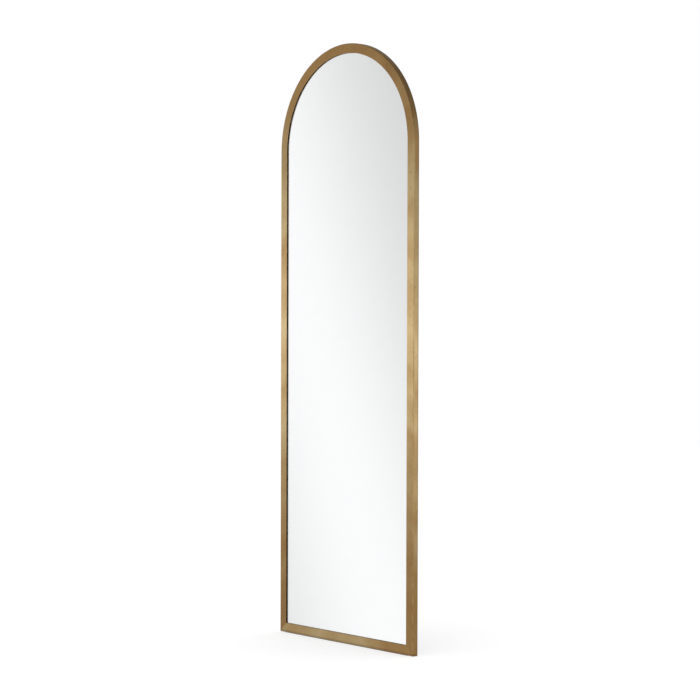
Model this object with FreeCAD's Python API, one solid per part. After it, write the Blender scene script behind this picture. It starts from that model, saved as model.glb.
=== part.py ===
import FreeCAD, Part
import math
import os

# Arched full-length mirror: a bent hollow frame with a lip over the glass edge, and a glass pack
# held from behind. Millimetres. +X is the width, to the right as seen from the front, +Y runs from
# the front towards the wall and +Z is up. The origin is on the floor, in the middle of the frame.
# u is the distance inwards from the frame's outer edge, in the plane of the mirror.

# ---- Driving dimensions -------------------------------------------------------------------------

# overall
WIDTH = 609.6
HEIGHT = 1778.0
DEPTH = 20.0

# frame section
FACE = 28.5
LIP_THICKNESS = 1.6
CHAMBER_WIDTH = 20.0
CHAMBER_WALL = 1.6
OUTER_EDGE_RADIUS = 1.8
LIP_EDGE_RADIUS = 0.5
REBATE_RADIUS = 0.4
MITRE_GAP = 0.12

# glass pack, in order from the lip backwards
TAPE_THICKNESS = 0.5
TAPE_WIDTH = 6.0
GLASS_THICKNESS = 4.0
SILVER_THICKNESS = 0.1
FILM_THICKNESS = 0.2
CUSHION_THICKNESS = 3.0
BOARD_THICKNESS = 6.0
PACK_EDGE_CLEARANCE = 1.5

# setting blocks, which fill the edge clearance under the pack
SETTING_BLOCK_LENGTH = 40.0
SETTING_BLOCK_SPACING = 300.0
SETTING_BLOCK_CLEARANCE = 0.2

# corner keys and the screws through each leg
KEY_CLEARANCE = 0.15
KEY_SCREWS_PER_LEG = 2
KEY_FIRST_SCREW = 27.0
KEY_SCREW_PITCH = 15.0
KEY_END_MARGIN = 8.0
KEY_LEAD_IN = 1.5

# pan-head screws
SCREW_DIAMETER = 3.5
SCREW_LENGTH = 9.0
SCREW_TIP_LENGTH = 2.0
SCREW_TIP_DIAMETER = 0.8
SCREW_HEAD_DIAMETER = 7.0
SCREW_HEAD_HEIGHT = 2.2
SCREW_HEAD_ROUND = 1.2
RECESS_SPAN = 4.2
RECESS_SLOT = 0.9
RECESS_DEPTH = 1.3
THREAD_CLEARANCE = 0.05
CLEARANCE_HOLE_PLAY = 0.35

# retaining clips
CLIP_THICKNESS = 1.2
CLIP_WIDTH = 16.0
CLIP_HEEL = 6.0
CLIP_TOE = 9.0
CLIP_BEND_RADIUS = 0.6
CLIP_CORNER_RADIUS = 2.0
CLIP_WALL_GAP = 1.0
CLIPS_PER_STILE = 4
CLIPS_ON_ARCH = 4
CLIP_END_DISTANCE = 150.0
BOTTOM_CLIP_SPACING = 180.0

# D-ring hangers
HANGER_INSET = 14.4
HANGER_BELOW_ARCH = 48.0
RING_WIRE = 3.0
RING_INNER_WIDTH = 12.0
RING_LEG = 7.0
RING_BEND_RADIUS = 2.2
RING_STRAP_GAP = 0.3
RING_SCREW_GAP = 1.5
STRAP_THICKNESS = 1.0
STRAP_SCREWS = 2
STRAP_SCREW_PITCH = 14.0
STRAP_END_MARGIN = 7.0
EYE_PLAY = 0.1
EYE_SIDE_PLAY = 0.3
EYE_SEAM = 0.6

# wall bumpers
BUMPER_INSET = 13.4
BUMPER_DIAMETER = 12.0
BUMPER_HEIGHT = 6.0
BUMPER_TAPER = 1.2
BUMPER_EDGE_RADIUS = 1.0
UPPER_BUMPER_ANGLE = 40.0
LOWER_BUMPER_HEIGHT = 95.0

# anti-slip strip
STRIP_THICKNESS = 1.2
STRIP_WIDTH = 14.0
STRIP_END_DISTANCE = 25.0
STRIP_GROOVE = 2.0
STRIP_GROOVE_DEPTH = 0.5

# ---- Places worked out from them ----------------------------------------------------------------

HALF_WIDTH = WIDTH / 2.0
FRONT = -DEPTH / 2.0
BACK = DEPTH / 2.0
BASE = STRIP_THICKNESS
SPRING = HEIGHT - HALF_WIDTH
CHAMBER_MIDDLE = CHAMBER_WIDTH / 2.0
CUT_MARGIN = 5.0
TOUCH = 0.001

PACK_EDGE = CHAMBER_WIDTH + PACK_EDGE_CLEARANCE
GLASS_FRONT = FRONT + LIP_THICKNESS + TAPE_THICKNESS
SILVER_FRONT = GLASS_FRONT + GLASS_THICKNESS
FILM_FRONT = SILVER_FRONT + SILVER_THICKNESS
CUSHION_FRONT = FILM_FRONT + FILM_THICKNESS
BOARD_FRONT = CUSHION_FRONT + CUSHION_THICKNESS
BOARD_BACK = BOARD_FRONT + BOARD_THICKNESS

THREAD_HOLE_RADIUS = SCREW_DIAMETER / 2.0 + THREAD_CLEARANCE
CLEARANCE_HOLE_RADIUS = SCREW_DIAMETER / 2.0 + CLEARANCE_HOLE_PLAY

KEY_LEG = KEY_FIRST_SCREW + (KEY_SCREWS_PER_LEG - 1) * KEY_SCREW_PITCH + KEY_END_MARGIN

WIRE_RADIUS = RING_WIRE / 2.0
RING_HALF = RING_INNER_WIDTH / 2.0 + WIRE_RADIUS
RING_DROP = RING_LEG + RING_HALF + WIRE_RADIUS
EYE_RADIUS = WIRE_RADIUS + EYE_PLAY
EYE_Y = BACK + STRAP_THICKNESS + RING_STRAP_GAP + WIRE_RADIUS
EYE_Z = SPRING - HANGER_BELOW_ARCH
HANGER_X = HALF_WIDTH - HANGER_INSET
STRAP_WIDTH = 2.0 * (RING_HALF - RING_BEND_RADIUS - EYE_SIDE_PLAY)
STRAP_FIRST_SCREW = RING_DROP + RING_SCREW_GAP + SCREW_HEAD_DIAMETER / 2.0
STRAP_LENGTH = STRAP_FIRST_SCREW + (STRAP_SCREWS - 1) * STRAP_SCREW_PITCH + STRAP_END_MARGIN

SIDES = {"left": -1, "right": 1}


# ---- Outlines and basic forms -------------------------------------------------------------------

def vec(x, y, z):
    return FreeCAD.Vector(x, y, z)


def rounded_wire(corners):
    """A closed wire through corners given as (point, radius), each corner rounded by an arc."""
    edges = []
    count = len(corners)
    ends = []
    for index in range(count):
        point, radius = corners[index]
        before = (corners[index - 1][0] - point).normalize()
        after = (corners[(index + 1) % count][0] - point).normalize()
        half_angle = before.getAngle(after) / 2.0
        setback = radius / math.tan(half_angle)
        start = point + before * setback
        end = point + after * setback
        bisector = (before + after).normalize()
        middle = point + bisector * (radius / math.sin(half_angle) - radius)
        ends.append((start, middle, end, radius))
    for index in range(count):
        start, middle, end, radius = ends[index]
        if radius > 0:
            edges.append(Part.Arc(start, middle, end).toShape())
        following = ends[(index + 1) % count][0]
        edges.append(Part.LineSegment(end, following).toShape())
    return Part.Wire(edges)


def section_face(points):
    """A face across the right stile, at the arch's spring line, from (u, y, corner radius)."""
    return Part.Face(rounded_wire([(vec(HALF_WIDTH - u, y, SPRING), r) for u, y, r in points]))


def arched_sheet(inset, front, thickness):
    """A flat sheet with the frame's own outline, smaller by inset all round."""
    half = HALF_WIDTH - inset
    low = BASE + inset
    corner_left = vec(-half, front, low)
    corner_right = vec(half, front, low)
    spring_right = vec(half, front, SPRING)
    spring_left = vec(-half, front, SPRING)
    crown = vec(0, front, SPRING + half)
    outline = Part.Wire([
        Part.LineSegment(corner_left, corner_right).toShape(),
        Part.LineSegment(corner_right, spring_right).toShape(),
        Part.Arc(spring_right, crown, spring_left).toShape(),
        Part.LineSegment(spring_left, corner_left).toShape(),
    ])
    return Part.Face(outline).extrude(vec(0, thickness, 0))


def block(low, high):
    """A rectangular block between two opposite corners."""
    size = high - low
    return Part.makeBox(size.x, size.y, size.z, low)


def drilled(shape, places, radius, front):
    """The shape with round holes at (x, z) places, each from front out through the back."""
    depth = BACK + CUT_MARGIN - front
    for x, z in places:
        shape = shape.cut(Part.makeCylinder(radius, depth, vec(x, front, z), vec(0, 1, 0)))
    return shape


def mirrored(shape):
    return shape.mirror(vec(0, 0, 0), vec(1, 0, 0))


def save(shape, node):
    shape.exportStep("parts/" + node + ".step")


# ---- Where the fasteners and clips go -----------------------------------------------------------

def key_screw_places():
    """The screws in each leg of both corner keys."""
    places = []
    for side in SIDES.values():
        for number in range(KEY_SCREWS_PER_LEG):
            along = KEY_FIRST_SCREW + number * KEY_SCREW_PITCH
            places.append((side * (HALF_WIDTH - CHAMBER_MIDDLE), BASE + along))
            places.append((side * (HALF_WIDTH - along), BASE + CHAMBER_MIDDLE))
    return places


def strap_screw_places():
    """The screws in each hanger strap, under the ring that hangs over it."""
    places = []
    for side in SIDES.values():
        for number in range(STRAP_SCREWS):
            places.append((side * HANGER_X, EYE_Z - STRAP_FIRST_SCREW - number * STRAP_SCREW_PITCH))
    return places


def clip_places():
    """Each clip as a point on the frame's outer edge and the turn that carries it there.

    The turn is about +Y, in degrees, from a clip on the right stile.
    """
    places = []
    first = BASE + CLIP_END_DISTANCE
    step = (SPRING - CLIP_END_DISTANCE - first) / (CLIPS_PER_STILE - 1)
    for number in range(CLIPS_PER_STILE):
        places.append((HALF_WIDTH, first + number * step, 0.0))
    for number in range(CLIPS_ON_ARCH):
        angle = 180.0 * (number + 0.5) / CLIPS_ON_ARCH
        reach_x = HALF_WIDTH * math.cos(math.radians(angle))
        reach_z = HALF_WIDTH * math.sin(math.radians(angle))
        places.append((reach_x, SPRING + reach_z, -angle))
    for number in reversed(range(CLIPS_PER_STILE)):
        places.append((-HALF_WIDTH, first + number * step, 180.0))
    for side in SIDES.values():
        places.append((side * BOTTOM_CLIP_SPACING / 2.0, BASE, 90.0))
    return places


def clip_screw_places():
    """The screw of each clip is over the middle of the chamber."""
    places = []
    for x, z, turn in clip_places():
        inwards_x = -math.cos(math.radians(turn))
        inwards_z = math.sin(math.radians(turn))
        places.append((x + CHAMBER_MIDDLE * inwards_x, z + CHAMBER_MIDDLE * inwards_z))
    return places


# ---- Frame --------------------------------------------------------------------------------------

def back_wall_places():
    """Every screw that goes through the back wall of the frame."""
    return key_screw_places() + strap_screw_places() + clip_screw_places()


def frame_section():
    """The hollow section across the right stile: a square chamber with a lip over the glass."""
    outside = section_face([
        (0, FRONT, OUTER_EDGE_RADIUS),
        (FACE, FRONT, LIP_EDGE_RADIUS),
        (FACE, FRONT + LIP_THICKNESS, LIP_EDGE_RADIUS),
        (CHAMBER_WIDTH, FRONT + LIP_THICKNESS, REBATE_RADIUS),
        (CHAMBER_WIDTH, BACK, REBATE_RADIUS),
        (0, BACK, OUTER_EDGE_RADIUS),
    ])
    chamber = section_face([
        (CHAMBER_WALL, FRONT + CHAMBER_WALL, 0),
        (CHAMBER_WIDTH - CHAMBER_WALL, FRONT + CHAMBER_WALL, 0),
        (CHAMBER_WIDTH - CHAMBER_WALL, BACK - CHAMBER_WALL, 0),
        (CHAMBER_WALL, BACK - CHAMBER_WALL, 0),
    ])
    return outside.cut(chamber)


def mitre_block(rise):
    """The space that belongs to the bottom rail, between the two mitres, raised by rise."""
    reach = FACE + CUT_MARGIN
    low = BASE - CUT_MARGIN
    half_low = HALF_WIDTH + rise + CUT_MARGIN
    half_high = HALF_WIDTH + rise - reach
    front = FRONT - CUT_MARGIN
    outline = Part.makePolygon([
        vec(-half_low, front, low),
        vec(half_low, front, low),
        vec(half_high, front, BASE + reach),
        vec(-half_high, front, BASE + reach),
        vec(-half_low, front, low),
    ])
    return Part.Face(outline).extrude(vec(0, DEPTH + 2 * CUT_MARGIN, 0))


def frame_hoop():
    """Both stiles and the arch, bent from one length."""
    section = frame_section()
    stile = section.extrude(vec(0, 0, BASE - SPRING))
    arch = section.revolve(vec(0, 0, SPRING), vec(0, -1, 0), 180)
    hoop = arch.fuse([stile, mirrored(stile)]).removeSplitter()
    hoop = hoop.cut(mitre_block(MITRE_GAP))
    return drilled(hoop, back_wall_places(), THREAD_HOLE_RADIUS, BACK - 2 * CHAMBER_WALL)


def bottom_rail():
    """The same section along the bottom, cut to the mitres."""
    upright = frame_section()
    upright.rotate(vec(HALF_WIDTH, 0, SPRING), vec(0, 1, 0), 90)
    upright.translate(vec(0, 0, BASE - SPRING))
    rail = upright.extrude(vec(-WIDTH, 0, 0))
    rail = rail.common(mitre_block(0))
    return drilled(rail, back_wall_places(), THREAD_HOLE_RADIUS, BACK - 2 * CHAMBER_WALL)


def tip_edges(key, tip_x, tip_z):
    """The edges round the ends of a key's two legs, where it is led into the chambers."""
    edges = []
    for edge in key.Edges:
        box = edge.BoundBox
        at_level_end = abs(box.XMin - tip_x) < TOUCH and abs(box.XMax - tip_x) < TOUCH
        at_upright_end = abs(box.ZMin - tip_z) < TOUCH and abs(box.ZMax - tip_z) < TOUCH
        if at_level_end or at_upright_end:
            edges.append(edge)
    return edges


def corner_key(side):
    """An L that fills the chambers of stile and rail round one bottom corner."""
    near = CHAMBER_WALL + KEY_CLEARANCE
    far = CHAMBER_WIDTH - CHAMBER_WALL - KEY_CLEARANCE
    front = FRONT + near
    back = BACK - near
    outer = HALF_WIDTH - near
    inner = HALF_WIDTH - far
    tip = HALF_WIDTH - KEY_LEG
    upright = block(vec(inner, front, BASE + near), vec(outer, back, BASE + KEY_LEG))
    level = block(vec(tip, front, BASE + near), vec(outer, back, BASE + far))
    key = upright.fuse(level).removeSplitter()
    key = key.makeChamfer(KEY_LEAD_IN, tip_edges(key, tip, BASE + KEY_LEG))
    if side < 0:
        key = mirrored(key)
    return drilled(key, key_screw_places(), THREAD_HOLE_RADIUS, FRONT)


# ---- Glass pack ---------------------------------------------------------------------------------

def glazing_tape():
    """A thin tape on the back of the lip, all round, flush with the edge of the glass."""
    outside = arched_sheet(PACK_EDGE, FRONT + LIP_THICKNESS, TAPE_THICKNESS)
    inside = arched_sheet(PACK_EDGE + TAPE_WIDTH, FRONT + LIP_THICKNESS, TAPE_THICKNESS)
    return outside.cut(inside)


def setting_block(side):
    """A rubber block on the rebate of the bottom rail, under the edge of the pack."""
    middle = side * SETTING_BLOCK_SPACING / 2.0
    front = FRONT + LIP_THICKNESS + REBATE_RADIUS + SETTING_BLOCK_CLEARANCE
    back = BOARD_BACK - SETTING_BLOCK_CLEARANCE
    low = BASE + CHAMBER_WIDTH
    high = BASE + PACK_EDGE
    return block(
        vec(middle - SETTING_BLOCK_LENGTH / 2.0, front, low),
        vec(middle + SETTING_BLOCK_LENGTH / 2.0, back, high),
    )


# ---- Screws and clips ---------------------------------------------------------------------------

def pan_screw(x, z, seat):
    """A pan-head screw driven forwards (-Y) from its seat, with a cross recess in the head."""
    radius = SCREW_DIAMETER / 2.0
    head_radius = SCREW_HEAD_DIAMETER / 2.0
    top = seat + SCREW_HEAD_HEIGHT
    point = seat - SCREW_LENGTH
    shoulder = point + SCREW_TIP_LENGTH
    crown_start = vec(head_radius, top - SCREW_HEAD_ROUND, 0)
    crown_end = vec(head_radius - SCREW_HEAD_ROUND, top, 0)
    crown_middle_x = head_radius - SCREW_HEAD_ROUND * (1 - math.sqrt(0.5))
    crown_middle = vec(crown_middle_x, top - SCREW_HEAD_ROUND * (1 - math.sqrt(0.5)), 0)
    tip_radius = SCREW_TIP_DIAMETER / 2.0
    outline = Part.Wire([
        Part.LineSegment(vec(0, point, 0), vec(tip_radius, point, 0)).toShape(),
        Part.LineSegment(vec(tip_radius, point, 0), vec(radius, shoulder, 0)).toShape(),
        Part.LineSegment(vec(radius, shoulder, 0), vec(radius, seat, 0)).toShape(),
        Part.LineSegment(vec(radius, seat, 0), vec(head_radius, seat, 0)).toShape(),
        Part.LineSegment(vec(head_radius, seat, 0), crown_start).toShape(),
        Part.Arc(crown_start, crown_middle, crown_end).toShape(),
        Part.LineSegment(crown_end, vec(0, top, 0)).toShape(),
        Part.LineSegment(vec(0, top, 0), vec(0, point, 0)).toShape(),
    ])
    screw = Part.Face(outline).revolve(vec(0, 0, 0), vec(0, 1, 0), 360)
    span = RECESS_SPAN / 2.0
    slot = RECESS_SLOT / 2.0
    floor = top - RECESS_DEPTH
    for half_x, half_z in ((span, slot), (slot, span)):
        arm = block(vec(-half_x, floor, -half_z), vec(half_x, top + CUT_MARGIN, half_z))
        screw = screw.cut(arm)
    screw.translate(vec(x, 0, z))
    return screw


def screw_set(places, seat):
    return Part.makeCompound([pan_screw(x, z, seat) for x, z in places])


def retaining_clip(x, z, turn):
    """A pressed Z: foot on the back of the frame, web down the rebate, toe on the board."""
    bend = CLIP_BEND_RADIUS
    outer_bend = CLIP_BEND_RADIUS + CLIP_THICKNESS
    web = CHAMBER_WIDTH + CLIP_WALL_GAP
    heel = CHAMBER_MIDDLE - CLIP_HEEL
    tip = web + CLIP_THICKNESS + CLIP_TOE
    corners = [
        (heel, BACK, 0),
        (web, BACK, bend),
        (web, BOARD_BACK, outer_bend),
        (tip, BOARD_BACK, 0),
        (tip, BOARD_BACK + CLIP_THICKNESS, 0),
        (web + CLIP_THICKNESS, BOARD_BACK + CLIP_THICKNESS, bend),
        (web + CLIP_THICKNESS, BACK + CLIP_THICKNESS, outer_bend),
        (heel, BACK + CLIP_THICKNESS, 0),
    ]
    section = rounded_wire([(vec(-u, y, -CLIP_WIDTH / 2.0), r) for u, y, r in corners])
    clip = Part.Face(section).extrude(vec(0, 0, CLIP_WIDTH))
    half = CLIP_WIDTH / 2.0
    plan = rounded_wire([
        (vec(-heel, BOARD_BACK - CUT_MARGIN, -half), CLIP_CORNER_RADIUS),
        (vec(-heel, BOARD_BACK - CUT_MARGIN, half), CLIP_CORNER_RADIUS),
        (vec(-tip, BOARD_BACK - CUT_MARGIN, half), CLIP_CORNER_RADIUS),
        (vec(-tip, BOARD_BACK - CUT_MARGIN, -half), CLIP_CORNER_RADIUS),
    ])
    height = BACK + CLIP_THICKNESS - BOARD_BACK + 2 * CUT_MARGIN
    clip = clip.common(Part.Face(plan).extrude(vec(0, height, 0)))
    clip = drilled(clip, [(-CHAMBER_MIDDLE, 0)], CLEARANCE_HOLE_RADIUS, FRONT)
    clip.rotate(vec(0, 0, 0), vec(0, 1, 0), turn)
    clip.translate(vec(x, 0, z))
    return clip


# ---- Hangers ------------------------------------------------------------------------------------

def hanger_strap(side):
    """A strap screwed to the back of the stile, its top end rolled into an eye for the ring."""
    x = side * HANGER_X
    half = STRAP_WIDTH / 2.0
    outer = EYE_RADIUS + STRAP_THICKNESS
    low = EYE_Z - STRAP_LENGTH
    end_middle = vec(x, BACK, low)
    outline = Part.Wire([
        Part.LineSegment(vec(x - half, BACK, EYE_Z), vec(x + half, BACK, EYE_Z)).toShape(),
        Part.LineSegment(vec(x + half, BACK, EYE_Z), vec(x + half, BACK, low + half)).toShape(),
        Part.Arc(vec(x + half, BACK, low + half), end_middle, vec(x - half, BACK, low + half)).toShape(),
        Part.LineSegment(vec(x - half, BACK, low + half), vec(x - half, BACK, EYE_Z)).toShape(),
    ])
    plate = Part.Face(outline).extrude(vec(0, STRAP_THICKNESS, 0))
    roll = Part.makeCylinder(outer, STRAP_WIDTH, vec(x - half, EYE_Y, EYE_Z), vec(1, 0, 0))
    bore = Part.makeCylinder(EYE_RADIUS, STRAP_WIDTH, vec(x - half, EYE_Y, EYE_Z), vec(1, 0, 0))
    seam = block(
        vec(x - half, BACK + STRAP_THICKNESS, EYE_Z - outer),
        vec(x + half, BACK + STRAP_THICKNESS + EYE_SEAM, EYE_Z),
    )
    strap = plate.fuse(roll.cut(seam)).removeSplitter().cut(bore)
    return drilled(strap, strap_screw_places(), CLEARANCE_HOLE_RADIUS, FRONT)


def d_ring(side):
    """A bent wire ring: a straight bar through the eye, two legs and a half round below."""
    x = side * HANGER_X
    half = RING_HALF
    bend = RING_BEND_RADIUS
    bend_middle = bend * (1 - math.sqrt(0.5))
    leg_end = EYE_Z - RING_LEG

    def at(dx, dz):
        return vec(x + dx, EYE_Y, dz)

    path = Part.Wire([
        Part.LineSegment(at(0, EYE_Z), at(half - bend, EYE_Z)).toShape(),
        Part.Arc(
            at(half - bend, EYE_Z),
            at(half - bend_middle, EYE_Z - bend_middle),
            at(half, EYE_Z - bend),
        ).toShape(),
        Part.LineSegment(at(half, EYE_Z - bend), at(half, leg_end)).toShape(),
        Part.Arc(at(half, leg_end), at(0, leg_end - half), at(-half, leg_end)).toShape(),
        Part.LineSegment(at(-half, leg_end), at(-half, EYE_Z - bend)).toShape(),
        Part.Arc(
            at(-half, EYE_Z - bend),
            at(-half + bend_middle, EYE_Z - bend_middle),
            at(-half + bend, EYE_Z),
        ).toShape(),
        Part.LineSegment(at(-half + bend, EYE_Z), at(0, EYE_Z)).toShape(),
    ])
    wire_section = Part.Wire(Part.makeCircle(WIRE_RADIUS, at(0, EYE_Z), vec(1, 0, 0)))
    return path.makePipeShell([wire_section], True, False)


# ---- Bumpers and strip --------------------------------------------------------------------------

def wall_bumper(x, z):
    """A round tapered rubber foot stuck to the back of the frame."""
    foot_radius = BUMPER_DIAMETER / 2.0
    bumper = Part.makeCone(
        foot_radius, foot_radius - BUMPER_TAPER, BUMPER_HEIGHT, vec(x, BACK, z), vec(0, 1, 0)
    )
    top = BACK + BUMPER_HEIGHT
    rims = [edge for edge in bumper.Edges if edge.BoundBox.YMin > top - BUMPER_EDGE_RADIUS]
    return bumper.makeFillet(BUMPER_EDGE_RADIUS, rims)


def bumper_places():
    places = {}
    from_centre = HALF_WIDTH - BUMPER_INSET
    angle = math.radians(UPPER_BUMPER_ANGLE)
    for name, side in SIDES.items():
        upper_x = side * from_centre * math.sin(angle)
        places["upper_" + name] = (upper_x, SPRING + from_centre * math.cos(angle))
        places["lower_" + name] = (side * from_centre, BASE + LOWER_BUMPER_HEIGHT)
    return places


def anti_slip_strip():
    """A rubber strip under the bottom rail, with two grooves that leave three ribs."""
    half_length = HALF_WIDTH - STRIP_END_DISTANCE
    half_width = STRIP_WIDTH / 2.0
    strip = block(vec(-half_length, -half_width, 0), vec(half_length, half_width, STRIP_THICKNESS))
    groove_offset = STRIP_WIDTH / 4.0
    for side in SIDES.values():
        middle = side * groove_offset
        groove = block(
            vec(-half_length, middle - STRIP_GROOVE / 2.0, 0),
            vec(half_length, middle + STRIP_GROOVE / 2.0, STRIP_GROOVE_DEPTH),
        )
        strip = strip.cut(groove)
    return strip


# ---- Every piece to its own file ----------------------------------------------------------------

os.makedirs("parts", exist_ok=True)

save(frame_hoop(), "frame_hoop")
save(bottom_rail(), "bottom_rail")
save(glazing_tape(), "glazing_tape")
save(arched_sheet(PACK_EDGE, GLASS_FRONT, GLASS_THICKNESS), "mirror_glass")
save(arched_sheet(PACK_EDGE, SILVER_FRONT, SILVER_THICKNESS), "silver_layer")
save(arched_sheet(PACK_EDGE, FILM_FRONT, FILM_THICKNESS), "safety_film")
save(arched_sheet(PACK_EDGE, CUSHION_FRONT, CUSHION_THICKNESS), "cushion_sheet")
save(arched_sheet(PACK_EDGE, BOARD_FRONT, BOARD_THICKNESS), "backing_board")
save(anti_slip_strip(), "anti_slip_strip")

for side_name, side_sign in SIDES.items():
    save(corner_key(side_sign), "corner_key_" + side_name)
    save(setting_block(side_sign), "setting_block_" + side_name)
    save(hanger_strap(side_sign), "d_ring_strap_" + side_name)
    save(d_ring(side_sign), "d_ring_" + side_name)

for number, (clip_x, clip_z, clip_turn) in enumerate(clip_places(), start=1):
    save(retaining_clip(clip_x, clip_z, clip_turn), "retaining_clip_%02d" % number)

for bumper_name, (bumper_x, bumper_z) in bumper_places().items():
    save(wall_bumper(bumper_x, bumper_z), "wall_bumper_" + bumper_name)

save(screw_set(key_screw_places(), BACK), "corner_key_screws")
save(screw_set(clip_screw_places(), BACK + CLIP_THICKNESS), "clip_screws")
save(screw_set(strap_screw_places(), BACK + STRAP_THICKNESS), "hanger_screws")
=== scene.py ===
import math

import bpy
import bmesh
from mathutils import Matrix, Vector


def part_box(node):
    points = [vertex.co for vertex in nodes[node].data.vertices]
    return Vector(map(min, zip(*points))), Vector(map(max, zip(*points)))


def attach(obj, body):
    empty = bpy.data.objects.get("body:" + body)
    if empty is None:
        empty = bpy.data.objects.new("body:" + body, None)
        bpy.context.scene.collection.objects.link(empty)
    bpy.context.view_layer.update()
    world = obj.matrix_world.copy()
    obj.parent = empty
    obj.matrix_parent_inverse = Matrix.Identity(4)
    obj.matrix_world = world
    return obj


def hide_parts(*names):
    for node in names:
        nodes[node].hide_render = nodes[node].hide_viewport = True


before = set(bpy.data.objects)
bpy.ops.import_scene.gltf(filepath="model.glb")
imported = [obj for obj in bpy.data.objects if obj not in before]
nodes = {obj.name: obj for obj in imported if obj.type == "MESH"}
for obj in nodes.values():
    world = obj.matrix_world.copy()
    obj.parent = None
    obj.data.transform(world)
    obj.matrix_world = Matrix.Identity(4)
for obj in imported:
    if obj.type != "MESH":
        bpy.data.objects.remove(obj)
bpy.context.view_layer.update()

# ---- Frame hoop ---------------------------------------------------------------------------------
# Both stiles and the round arch, roll-bent from one hollow aluminium extrusion with a lip over the
# glass edge. It is brushed along its length, stained to antique brass and lacquered, and its feet
# are mitred for the bottom rail.

hoop_low, hoop_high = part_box("frame_hoop")
frame_half_width = hoop_high.x
frame_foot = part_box("bottom_rail")[0].z
frame_front = hoop_low.y
frame_back = hoop_high.y
arch_spring = 1.4732
arch_squash = (hoop_high.z - arch_spring) / frame_half_width
arch_steps = 120
face_width = 0.0285
lip_thickness = 0.0016
chamber_width = 0.0200
outer_edge_radius = 0.0018
lip_edge_radius = 0.0005
rebate_radius = 0.0004
mitre_gap = 0.00012
crease_angle = math.radians(40)

# How the finish wears on an edge, how much darker the rear edges are, how deep the painted shade in
# the recess behind the lip is, and how far along the flats these fade out.
rubbed_back = 1.0
left_alone = 0.0
# the rear edges are drawn darker
rear_edge_darker = -0.7
# painted shade: the rebate and the stiles' lip edge are darkened where the recess behind the lip is
# in shade
painted_recess_shade = -1.0
edge_mark_fade = 0.0028


def eased_section(corners, steps=6):
    """The outline round a square-cornered section, as (u, y, mark): each corner (u, y, radius,
    mark) is rounded, and its mark fades to 0 along the flats beside it. The brass turns the marks
    into edge wear, painted light and painted shade."""
    outline = []
    for i, (u, y, radius, edge_mark) in enumerate(corners):
        here = Vector((u, y))
        back = Vector(corners[i - 1][:2]) - here
        on = Vector(corners[(i + 1) % len(corners)][:2]) - here
        room_back = back.length
        room_on = on.length
        back.normalize()
        on.normalize()
        centre = here + (back + on) * radius
        reach = radius + edge_mark_fade
        if room_back > 2 * reach:
            outline.append((*(here + back * reach), left_alone))
        for k in range(steps + 1):
            turn = math.pi / 2 * k / steps
            point = centre - on * radius * math.cos(turn) - back * radius * math.sin(turn)
            outline.append((*point, edge_mark))
        if room_on > 2 * reach:
            outline.append((*(here + on * reach), left_alone))
    return outline


def frame_section(lip_painted_tone):
    """The extrusion's outline, with u in from the frame's outside edge; the mark on the lip's edge
    paints shade there below 0 and light above 0.
    """
    lip_back = frame_front + lip_thickness
    return eased_section([
        (0.0, frame_front, outer_edge_radius, rubbed_back),
        (face_width, frame_front, lip_edge_radius, left_alone),
        (face_width, lip_back, lip_edge_radius, lip_painted_tone),
        (chamber_width, lip_back, rebate_radius, painted_recess_shade),
        (chamber_width, frame_back, rebate_radius, left_alone),
        (0.0, frame_back, outer_edge_radius, rear_edge_darker),
    ])


def hoop_places():
    """Where the section stands along the hoop, from the left foot over the arch to the right one:
    each place is how far along it is, and a function from the section's (u, y) to a point."""
    middle = frame_half_width - face_width / 2
    stile = arch_spring - frame_foot

    def at_foot(side):
        return lambda u, y: Vector((side * (frame_half_width - u), y, frame_foot + u + mitre_gap))

    def on_arch(turn):
        return lambda u, y: Vector((
            -(frame_half_width - u) * math.cos(turn), y,
            arch_spring + (frame_half_width - u) * math.sin(turn) * arch_squash))

    places = [(0.0, at_foot(-1))]
    for k in range(arch_steps + 1):
        turn = math.pi * k / arch_steps
        places.append((stile + turn * middle, on_arch(turn)))
    places.append((2 * stile + math.pi * middle, at_foot(1)))
    return places


def drawn_length(name, section, places):
    """A length of section through the places, closed at both ends. It carries a map that runs
    along and round it in metres, and the section's edge marks all along it: edge wear, painted
    light and painted shade."""
    mesh = bpy.data.meshes.new(name)
    work = bmesh.new()
    run = work.loops.layers.uv.new("along_and_round")
    arris = work.verts.layers.float.new("arris")
    rings = []
    for _, place in places:
        ring = []
        for u, y, edge_mark in section:
            vertex = work.verts.new(place(u, y))
            vertex[arris] = edge_mark
            ring.append(vertex)
        rings.append(ring)
    count = len(section)
    around = [0.0]
    for i in range(count):
        step = Vector(section[(i + 1) % count][:2]) - Vector(section[i][:2])
        around.append(around[-1] + step.length)
    for k in range(len(rings) - 1):
        for i in range(count):
            j = (i + 1) % count
            face = work.faces.new((rings[k][i], rings[k][j], rings[k + 1][j], rings[k + 1][i]))
            corners = ((k, i), (k, i + 1), (k + 1, i + 1), (k + 1, i))
            for loop, (a, b) in zip(face.loops, corners):
                loop[run].uv = (places[a][0], around[b])
    for ring, far in ((rings[0], places[0][0]), (rings[-1], places[-1][0])):
        cap = work.faces.new(ring)
        for loop, (u, y, _) in zip(cap.loops, section):
            loop[run].uv = (far + u, y)
    bmesh.ops.recalc_face_normals(work, faces=work.faces)
    for face in work.faces:
        face.smooth = True
    for edge in work.edges:
        edge.smooth = edge.calc_face_angle(0.0) < crease_angle
    work.to_mesh(mesh)
    work.free()
    piece = bpy.data.objects.new(name, mesh)
    bpy.context.scene.collection.objects.link(piece)
    flats = piece.modifiers.new("flats_stay_flat", "WEIGHTED_NORMAL")
    flats.keep_sharp = True
    flats.weight = 60
    return piece


def linear(red, green, blue):
    """A colour as it looks on a screen, 0 to 255, as the shaders want it."""
    def channel(level):
        level = level / 255
        return level / 12.92 if level <= 0.04045 else ((level + 0.055) / 1.055) ** 2.4
    return (channel(red), channel(green), channel(blue), 1.0)


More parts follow.
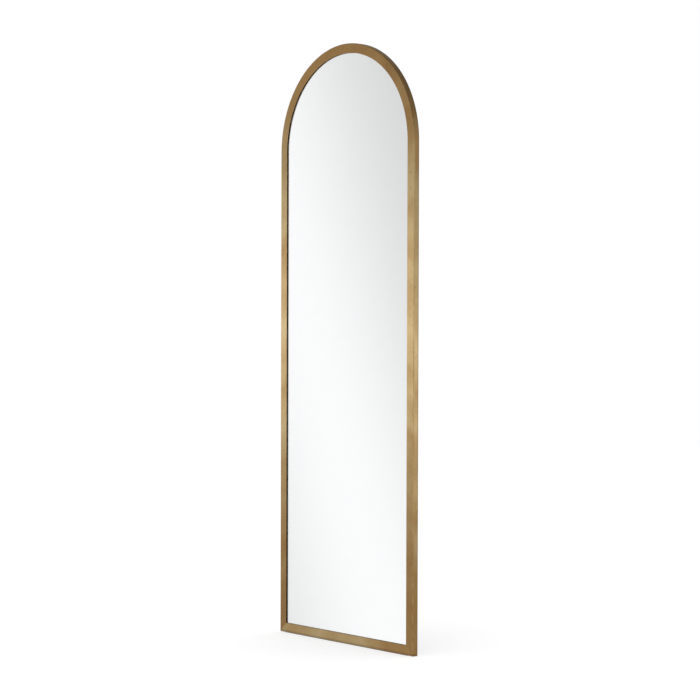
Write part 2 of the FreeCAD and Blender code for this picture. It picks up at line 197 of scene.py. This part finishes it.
class Recipe:
    """What a material or a world is mixed from: steps that feed each other."""

    def __init__(self, mixed, cleared=True):
        mixed.use_nodes = True
        self.tree = mixed.node_tree
        if cleared:
            self.tree.nodes.clear()

    def feed(self, step, sockets):
        """Set a step's sockets, or link them where the value comes from another step."""
        for name, value in sockets.items():
            socket = step.inputs[name.replace("_", " ") if isinstance(name, str) else name]
            if isinstance(value, bpy.types.NodeSocket):
                self.tree.links.new(value, socket)
            else:
                socket.default_value = value

    def step(self, kind, *first_sockets, settings=None, **sockets):
        """Add a step, with its first sockets in order and any others by name."""
        made = self.tree.nodes.new("ShaderNode" + kind)
        for name, value in (settings or {}).items():
            setattr(made, name, value)
        self.feed(made, dict(enumerate(first_sockets)))
        self.feed(made, sockets)
        return made

    def reckon(self, way, *numbers):
        return self.step("Math", *numbers, settings={"operation": way}).outputs["Value"]

    def between(self, amount, low, high, start=0.0, end=1.0):
        """A number that goes from low to high as amount goes from start to end."""
        return self.step("MapRange", amount, start, end, low, high).outputs["Result"]


class Finish(Recipe):
    """A finish for the object's own surfaces. Its places are in metres."""

    def __init__(self, name, **surface):
        self.material = bpy.data.materials.new(name)
        super().__init__(self.material, cleared=False)
        self.surface = self.tree.nodes["Principled BSDF"]
        self.take(**surface)

    def take(self, **sockets):
        """Feed the surface itself."""
        self.feed(self.surface, sockets)

    def place(self, stretch=(1, 1, 1), way="Object", turn=(0, 0, 0)):
        """Places on the piece, stretched by so much along each axis."""
        source = self.step("TexCoord").outputs[way]
        return self.step("Mapping", Vector=source, Scale=stretch, Rotation=turn).outputs["Vector"]

    def mottle(self, scale, detail=3.0, roughness=0.5, distortion=0.0, **where):
        """Cloudy variation between 0 and 1, with about scale patches to the metre."""
        return self.step("TexNoise", Vector=self.place(**where), Scale=scale, Detail=detail,
                         Roughness=roughness, Distortion=distortion).outputs["Fac"]

    def shades(self, amount, *stops):
        """Colours picked by amount: stops are (where, colour)."""
        ramp = self.step("ValToRGB", amount)
        while len(ramp.color_ramp.elements) < len(stops):
            ramp.color_ramp.elements.new(0.5)
        for element, (where, colour) in zip(ramp.color_ramp.elements, stops):
            element.position = where
            element.color = colour
        return ramp.outputs["Color"]

    def laid_over(self, amount, under, over):
        made = self.step("Mix", settings={"data_type": "RGBA"})
        self.feed(made, {0: amount, 6: under, 7: over})
        return made.outputs[2]

    def relief(self, height, strength, depth, after=None):
        """The surface's small ups and downs, depth metres deep."""
        made = self.step("Bump", Height=height, Strength=strength, Distance=depth)
        if after is not None:
            self.feed(made, {"Normal": after})
        return made.outputs["Normal"]

    def put_on(self, *pieces):
        for piece in pieces:
            piece.data.materials.clear()
            piece.data.materials.append(self.material)


# The stain from deep to wiped thin, and what lies in it, under it and on the edges: the rubbed
# tone is edge wear and also painted light on the rail's lip, and the dark brown is painted shade in
# the recess and at the foot, and darkens the rear edges.
stain_tones = (
    (0.20, linear(140, 99, 50)),
    (0.42, linear(158, 121, 68)),
    (0.58, linear(178, 152, 106)),
    (0.78, linear(194, 178, 138)))
stain_speck = linear(80, 58, 34)
brushed_hairline = linear(206, 184, 140)
# edge wear, and painted light on the rail's lip edge
rubbed_and_painted_light_brass = linear(188, 164, 116)
# painted shade in the recess behind the lip and at the foot, and the darker rear edges
painted_shade_and_dark_edge_brown = linear(66, 52, 30)
patchiness = 0.14


def antique_brass(name, tone, axis, *fades):
    """Brushed metal stained by hand to antique brass. The tone changes by each fade, (start, end,
    change), as the place along axis goes from start to end: the fades are painted light and painted
    shade. The stain is rubbed back on the front edges, painted light lightens the rail's lip edge,
    painted shade darkens the rebate, the stiles' lip edge and the very foot, the rear edges are
    darker, and a thin clear lacquer goes over it."""
    brass = Finish(name, Metallic=1.0, IOR=1.5, Anisotropic=0.5, Anisotropic_Rotation=0.25,
                   Coat_Weight=0.3, Coat_Roughness=0.3)
    places = brass.step("SeparateXYZ", Vector=brass.place()).outputs

    # patches of stain, then specks in it and hairlines of metal through it
    patch = brass.mottle(1.0, detail=2.0, roughness=0.5, distortion=0.4, way="UV",
                         stretch=(9, 6, 1))
    light = brass.between(patch, tone - patchiness, tone + patchiness, 0.15, 0.85)
    # the fades: painted light where they lift the tone, painted shade where they deepen it
    for start, end, change in fades:
        light = brass.reckon("ADD", light, brass.between(places[axis], 0.0, change, start, end))
    colour = brass.shades(light, *stain_tones)
    speck = brass.mottle(150.0, detail=2.0, roughness=0.6)
    colour = brass.laid_over(brass.between(speck, 0.0, 0.25, 0.56, 0.74), colour, stain_speck)
    hairline = brass.mottle(1.0, detail=5.0, roughness=0.7, way="UV", stretch=(26, 2400, 1))
    colour = brass.laid_over(
        brass.between(hairline, 0.0, 0.10, 0.42, 0.62), colour, brushed_hairline)

    # the edges, rubbed unevenly, with painted light on the rail's lip edge, then painted shade in
    # the rebate, on the stiles' lip edge and at the very foot, where a contact shadow falls, and
    # darker rear edges
    arris = brass.step("Attribute", settings={"attribute_name": "arris"}).outputs["Fac"]
    uneven = brass.between(brass.mottle(55.0, detail=4.0, roughness=0.65), 0.0, 0.5, 0.48, 0.64)
    rub_and_painted_light = brass.reckon("MULTIPLY", brass.between(arris, 0.0, 1.0, 0.45, 1.0), uneven)
    colour = brass.laid_over(rub_and_painted_light, colour, rubbed_and_painted_light_brass)
    # painted shade in the recess behind the lip and a painted contact shadow at the foot; the rear
    # edges are darkened too
    painted_shade_and_dark_edges = brass.reckon("MAXIMUM", brass.between(arris, 0.80, 0.0, -1.0, -0.05),
                           brass.between(places["Z"], 0.60, 0.0, 0.001, 0.010))
    colour = brass.laid_over(painted_shade_and_dark_edges, colour, painted_shade_and_dark_edge_brown)

    # the brushing's sheen and grain, and the slight ripple that roll-bending leaves
    gloss = brass.reckon("ADD", brass.between(patch, 0.41, 0.35, 0.3, 0.7),
                         brass.between(hairline, -0.04, 0.04, 0.3, 0.7))
    grain = brass.relief(hairline, 0.2, 0.00005)
    ripple = brass.relief(brass.mottle(9.0, detail=1.0), 0.15, 0.0010, after=grain)
    brushing = {"direction_type": "UV_MAP", "uv_map": "along_and_round"}
    brass.take(Base_Color=colour, Roughness=gloss, Normal=ripple,
               Tangent=brass.step("Tangent", settings=brushing).outputs[0])
    return brass


hoop = drawn_length("frame_hoop_brass", frame_section(painted_recess_shade), hoop_places())
# Painted highlight and painted shade in the stain's tone: lighter up the stiles to mid height,
# where the lamps' highlight falls, so the feet are darker, and deeper over the arch.
painted_light_up_the_stiles = (0.10, 0.65, 0.18)
painted_shade_over_the_arch = (1.35, 1.75, -0.20)
antique_brass(
    "antique_brass_hoop", 0.38, "Z", painted_light_up_the_stiles, painted_shade_over_the_arch).put_on(hoop)
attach(hoop, "mirror")
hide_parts("frame_hoop")

# ---- Bottom rail --------------------------------------------------------------------------------
# A straight length of the same extrusion, laid on its side and mitred at both ends. It meets the
# stiles in a hairline, held shut by the corner keys inside.

# Painted light: the rail's lip edge takes the rubbed tone, as if lit from above, where the stiles'
# lip edges take painted shade.
rail_lip_painted_light = 0.6


def rail_places():
    """Where the section stands at the rail's two ends, as hoop_places gives it."""
    def at_end(side):
        return lambda u, y: Vector((side * (frame_half_width - u), y, frame_foot + u))
    return [(0.0, at_end(-1)), (2 * frame_half_width, at_end(1))]


rail = drawn_length("bottom_rail_brass", frame_section(rail_lip_painted_light), rail_places())
# Painted light and painted shade in the rail's tone: it starts as light as the stiles' painted
# highlight and deepens toward the right end.
painted_shade_to_the_right = (0.08, 0.26, -0.24)
antique_brass("antique_brass_rail", 0.56, "X", painted_shade_to_the_right).put_on(rail)
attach(rail, "mirror")
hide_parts("bottom_rail")

# ---- Corner keys --------------------------------------------------------------------------------
# Two L-shaped keys of die-cast aluminium inside the mitred corners, out of sight and left as cast.
# Each leg slides into the hollow frame and is held by two screws.

cast = Finish("cast_aluminium", Metallic=1.0)
casting = cast.mottle(420.0, detail=5.0, roughness=0.6)
cast.take(
    Base_Color=cast.shades(casting, (0.35, linear(148, 149, 150)), (0.65, linear(186, 187, 188))),
    Roughness=cast.between(casting, 0.62, 0.46, 0.3, 0.7),
    Normal=cast.relief(casting, 0.6, 0.0002))
cast.put_on(nodes["corner_key_left"], nodes["corner_key_right"])

# ---- Glazing tape and setting blocks ------------------------------------------------------------
# Black foam tape between the lip and the glass, and two black rubber blocks that carry the glass
# on the bottom rail.

black_rubber = Finish("black_rubber", Specular_IOR_Level=0.35)
bloom = black_rubber.mottle(90.0, detail=4.0, roughness=0.6)
skin = black_rubber.mottle(1900.0, detail=2.0)
black_rubber.take(
    Base_Color=black_rubber.shades(bloom, (0.35, linear(24, 24, 25)), (0.7, linear(44, 43, 42))),
    Roughness=black_rubber.between(bloom, 0.62, 0.82, 0.3, 0.7),
    Normal=black_rubber.relief(skin, 0.35, 0.00008))
black_rubber.put_on(
    nodes["glazing_tape"], nodes["setting_block_left"], nodes["setting_block_right"])

# ---- Mirror glass -------------------------------------------------------------------------------
# One flat sheet of 4 mm clear float glass, cut to the arch with its edge hidden behind the lip. It
# has no bevel. The roll of the float line leaves it very slightly wavy.

glass_thin_tint = (0.980, 0.986, 0.986, 1)
glass_thick_tint = (0.985, 0.990, 0.990, 1)
glass = Finish("clear_float_glass", Transmission_Weight=1.0, Roughness=0.0, IOR=1.52)
wave = glass.mottle(4.0, detail=1.0, stretch=(1, 1, 0.4))
glass.take(
    Base_Color=glass.shades(wave, (0.3, glass_thin_tint), (0.7, glass_thick_tint)),
    Normal=glass.relief(wave, 0.05, 0.0003))
glass.put_on(nodes["mirror_glass"])

# ---- Silvering and safety film ------------------------------------------------------------------
# Silver and backing paint laid straight onto the back of the glass, so the coat is bedded into it
# here, with no air between. A grey plastic film behind it holds the pieces if the glass breaks.

silver_low, silver_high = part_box("silver_layer")
silver_radius = silver_high.x
silver_bedding = 0.00002
silver_dull = (0.955, 0.956, 0.961, 1)
silver_bright = (0.964, 0.965, 0.969, 1)


def coated_sheet(name, radius, foot, front, back):
    """A flat arched sheet of a half width, from its foot up and between two depths."""
    outline = [(-radius, foot)]
    for k in range(arch_steps + 1):
        turn = math.pi * k / arch_steps
        rise = radius * math.sin(turn) * arch_squash
        outline.append((-radius * math.cos(turn), arch_spring + rise))
    outline.append((radius, foot))
    mesh = bpy.data.meshes.new(name)
    work = bmesh.new()
    face = work.faces.new([work.verts.new((x, front, z)) for x, z in outline])
    grown = bmesh.ops.extrude_face_region(work, geom=[face])["geom"]
    bmesh.ops.translate(work, vec=(0, back - front, 0),
                        verts=[part for part in grown if isinstance(part, bmesh.types.BMVert)])
    bmesh.ops.recalc_face_normals(work, faces=work.faces)
    work.to_mesh(mesh)
    work.free()
    piece = bpy.data.objects.new(name, mesh)
    bpy.context.scene.collection.objects.link(piece)
    return piece


silver = Finish("silvering", Metallic=1.0)
haze = silver.mottle(30.0, detail=4.0)
silver.take(
    Base_Color=silver.shades(haze, (0.3, silver_dull), (0.7, silver_bright)),
    Roughness=silver.between(haze, 0.0, 0.004, 0.2, 0.8))
coat = coated_sheet("silver_coat", silver_radius, silver_low.z,
                    silver_low.y - silver_bedding, silver_high.y)
silver.put_on(coat)
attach(coat, "mirror")
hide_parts("silver_layer")

film = Finish("safety_film", Specular_IOR_Level=0.4)
weave = film.mottle(700.0, detail=2.0, stretch=(1, 1, 0.25))
film.take(
    Base_Color=film.shades(weave, (0.3, linear(196, 199, 201)), (0.7, linear(214, 217, 219))),
    Roughness=film.between(weave, 0.42, 0.6),
    Normal=film.relief(weave, 0.3, 0.0001))
film.put_on(nodes["safety_film"])

# ---- Cushion sheet and backing board ------------------------------------------------------------
# Corrugated card lies behind the glass, and a 6 mm fibreboard, painted matt black with a roller,
# closes the back. The clips hold them in.

card_flute = linear(150, 114, 78)
card = Finish("corrugated_card", Specular_IOR_Level=0.25)
flute = card.step("TexWave", settings={"wave_type": "BANDS", "bands_direction": "X"},
                  Vector=card.place(), Scale=50.0, Distortion=0.6, Detail=1.0).outputs["Fac"]
pulp = card.mottle(260.0, detail=5.0, roughness=0.65)
kraft = card.shades(pulp, (0.3, linear(168, 130, 92)), (0.7, linear(190, 155, 115)))
card.take(
    Base_Color=card.laid_over(card.between(flute, 0.0, 0.25), kraft, card_flute),
    Roughness=card.between(pulp, 0.85, 0.95),
    Normal=card.relief(flute, 0.4, 0.0004))
card.put_on(nodes["cushion_sheet"])

roller_mark = linear(60, 60, 62)
scuff_mark = linear(92, 90, 88)
board = Finish("black_painted_board", Specular_IOR_Level=0.35)
fibre = board.mottle(210.0, detail=6.0, roughness=0.7)
roller = board.mottle(12.0, detail=3.0, stretch=(1, 1, 0.18))
scuff = board.mottle(1.0, detail=6.0, roughness=0.75, stretch=(38, 38, 9), turn=(0.0, 0.6, 0.0))
paint = board.shades(fibre, (0.32, linear(34, 34, 36)), (0.68, linear(50, 50, 52)))
paint = board.laid_over(board.between(roller, 0.0, 0.35, 0.4, 0.7), paint, roller_mark)
paint = board.laid_over(board.between(scuff, 0.0, 0.45, 0.62, 0.74), paint, scuff_mark)
board.take(
    Base_Color=paint,
    Roughness=board.reckon(
        "ADD", board.between(fibre, 0.62, 0.78), board.between(roller, -0.08, 0.06)),
    Normal=board.relief(fibre, 0.5, 0.00025))
board.put_on(nodes["backing_board"])

# ---- Retaining clips and screws -----------------------------------------------------------------
# Fourteen Z-clips pressed from zinc-plated strip hold the pack down, each under a pan-head screw
# into the frame's back wall. Eight more screws go through the wall into the corner keys.

rolled_streak = linear(212, 211, 203)
zinc = Finish("zinc_plate", Metallic=1.0)
spangle = zinc.mottle(150.0, detail=3.0, roughness=0.55)
roll = zinc.mottle(1.0, detail=4.0, roughness=0.65, stretch=(300, 300, 2600))
plating = zinc.shades(spangle, (0.32, linear(158, 160, 160)), (0.68, linear(196, 198, 197)))
zinc.take(
    Base_Color=zinc.laid_over(zinc.between(roll, 0.0, 0.3, 0.35, 0.7), plating, rolled_streak),
    Roughness=zinc.reckon(
        "ADD", zinc.between(spangle, 0.30, 0.42, 0.3, 0.7), zinc.between(roll, -0.05, 0.06)),
    Normal=zinc.relief(roll, 0.3, 0.00004))
zinc.put_on(*[nodes[name] for name in nodes if name.startswith("retaining_clip_")])

screw_zinc = Finish("zinc_screws", Metallic=1.0)
passivate = screw_zinc.mottle(380.0, detail=3.0)
screw_zinc.take(
    Base_Color=screw_zinc.shades(
        passivate, (0.3, linear(150, 152, 150)), (0.55, linear(188, 188, 180)),
        (0.75, linear(198, 192, 170))),
    Roughness=screw_zinc.between(passivate, 0.24, 0.38))
screw_zinc.put_on(nodes["clip_screws"], nodes["corner_key_screws"], nodes["hanger_screws"])

# ---- Hangers ------------------------------------------------------------------------------------
# A steel strap on each stile, its top end rolled into an eye, and a D-ring of bent wire that swings
# in it. Both are zinc plated. Two screws hold each strap.

zinc.put_on(
    nodes["d_ring_strap_left"], nodes["d_ring_strap_right"],
    nodes["d_ring_left"], nodes["d_ring_right"])

# ---- Wall bumpers and anti-slip strip -----------------------------------------------------------
# Four moulded rubber buttons keep the frame off the wall, and a ribbed rubber strip under the
# bottom rail keeps it from sliding.

black_rubber.put_on(
    nodes["wall_bumper_upper_left"], nodes["wall_bumper_upper_right"],
    nodes["wall_bumper_lower_left"], nodes["wall_bumper_lower_right"],
    nodes["anti_slip_strip"])

# ---- Studio floor -------------------------------------------------------------------------------
# Matt paper that runs out to white on all sides and keeps the mirror's shadow. Glass and metal
# look through it to the pale room.

scene = bpy.context.scene
scene.view_settings.view_transform = "Standard"
white = (1, 1, 1, 1)
paper_grey = (0.62, 0.62, 0.62, 1)
lift_to_white = 0.56

floor_mesh = bpy.data.meshes.new("studio_floor")
sheet = bmesh.new()
bmesh.ops.create_circle(sheet, cap_ends=True, segments=96, radius=9.0)
sheet.to_mesh(floor_mesh)
sheet.free()
floor = bpy.data.objects.new("studio_floor", floor_mesh)
scene.collection.objects.link(floor)

paper_material = bpy.data.materials.new("white_paper_floor")
paper = Recipe(paper_material)
seen_by = paper.step("LightPath").outputs
matt = paper.step("BsdfDiffuse", Color=paper_grey).outputs[0]
lift = paper.step("Emission", Color=white, Strength=paper.reckon(
    "MULTIPLY", seen_by["Is Camera Ray"], lift_to_white)).outputs[0]
lit = paper.step("AddShader", matt, lift).outputs[0]
clear = paper.step("BsdfTransparent").outputs[0]
mirrored = paper.reckon("MAXIMUM", seen_by["Is Glossy Ray"], seen_by["Is Transmission Ray"])
paper.step("OutputMaterial", Surface=paper.step("MixShader", mirrored, lit, clear).outputs[0])
floor_mesh.materials.append(paper_material)

# ---- Lamps --------------------------------------------------------------------------------------
# Four soft boxes: two in front to the left, one in front to the right to fill, and one behind to
# the right. The glass is flagged off from them, or it would show them as hard white squares.

flagged_off = bpy.data.collections.new("flagged_off_from_lamps")
flagged_off.objects.link(nodes["mirror_glass"])
flagged_off.collection_objects[0].light_linking.link_state = "EXCLUDE"


def soft_box(name, stands, aims, width, height, watts):
    """A soft box that stands at one point and faces another, and doesn't show to the camera."""
    light = bpy.data.lights.new(name, "AREA")
    light.shape = "RECTANGLE"
    light.size = width
    light.size_y = height
    light.energy = watts
    lamp = bpy.data.objects.new(name, light)
    lamp.location = stands
    lamp.rotation_euler = (Vector(aims) - Vector(stands)).to_track_quat("-Z", "Y").to_euler()
    lamp.visible_camera = False
    lamp.light_linking.receiver_collection = flagged_off
    scene.collection.objects.link(lamp)


soft_box("front_soft_box_right", stands=(-1.90, -2.60, 0.94), aims=(0, 0, 0.94),
         width=0.5, height=0.9, watts=5)
soft_box("front_soft_box_left", stands=(-2.95, -1.28, 0.94), aims=(0, 0, 0.94),
         width=0.5, height=0.9, watts=5)
soft_box("side_soft_box", stands=(2.60, 1.95, 0.66), aims=(0.3, 0, 0.75),
         width=0.6, height=0.9, watts=4)
soft_box("fill_soft_box", stands=(2.20, -3.10, 1.20), aims=(0, 0, 0.95),
         width=1.5, height=1.3, watts=14)

# ---- Room ---------------------------------------------------------------------------------------
# What metal and glass see: a pale room with one broad soft band of white slanting through it in
# front to the left, dimmer overhead and a little brighter low down, where the floor shines. All
# else gets one level light.

room_glow = 0.6658
band_glow = 0.3585
# the way across the band: the longer this is, the narrower the band
band_across = Vector((-11.0016, 13.0517, -4.63))
band_middle = 0.383
overhead_share = 0.45
floor_shine = 0.35
level_light = 0.78

world = bpy.data.worlds.new("pale_room")
scene.world = world
room = Recipe(world)
way = room.step("TexCoord").outputs["Generated"]
climb = room.step("SeparateXYZ", Vector=way).outputs["Z"]
across = room.step("VectorMath", way, band_across, settings={"operation": "DOT_PRODUCT"})
from_middle = room.reckon("SUBTRACT", across.outputs["Value"], band_middle)
spread = room.reckon("MULTIPLY", room.reckon("MULTIPLY", from_middle, from_middle), -1.0)
band = room.reckon("MULTIPLY", room.reckon("EXPONENT", spread), band_glow)
picture = room.reckon("MULTIPLY", room.reckon("ADD", band, room_glow),
                      room.between(climb, 1.0, overhead_share, 0.14, 0.55))
picture = room.reckon("ADD", picture, room.between(climb, floor_shine, 0.0, -0.60, -0.18))
seen_by = room.step("LightPath").outputs
shiny = room.reckon("MAXIMUM", seen_by["Is Glossy Ray"], seen_by["Is Transmission Ray"])
strength = room.between(
    seen_by["Is Camera Ray"], room.between(shiny, level_light, picture), 1.0)
glow = room.step("Background", Color=white, Strength=strength)
room.step("OutputWorld", Surface=glow.outputs[0])

# ---- Camera -------------------------------------------------------------------------------------
# A long lens about a metre off the floor and 6 m away, 50 degrees round to the mirror's right. It
# is aimed nearly level.

film_width = 36.0
picture_width_px = 700
focal_length_px = 2048.32
camera_tilt = math.radians(88.9547)
camera_roll = math.radians(-0.1583)
camera_heading = math.radians(49.7704)

lens = bpy.data.cameras.new("photo_camera")
lens.sensor_width = film_width
lens.lens = film_width * focal_length_px / picture_width_px
lens.clip_start = 0.1
lens.clip_end = 60.0
camera = bpy.data.objects.new("photo_camera", lens)
camera.location = (4.64249, -3.91686, 0.98322)
camera.rotation_euler = (camera_tilt, camera_roll, camera_heading)
scene.collection.objects.link(camera)
scene.camera = camera
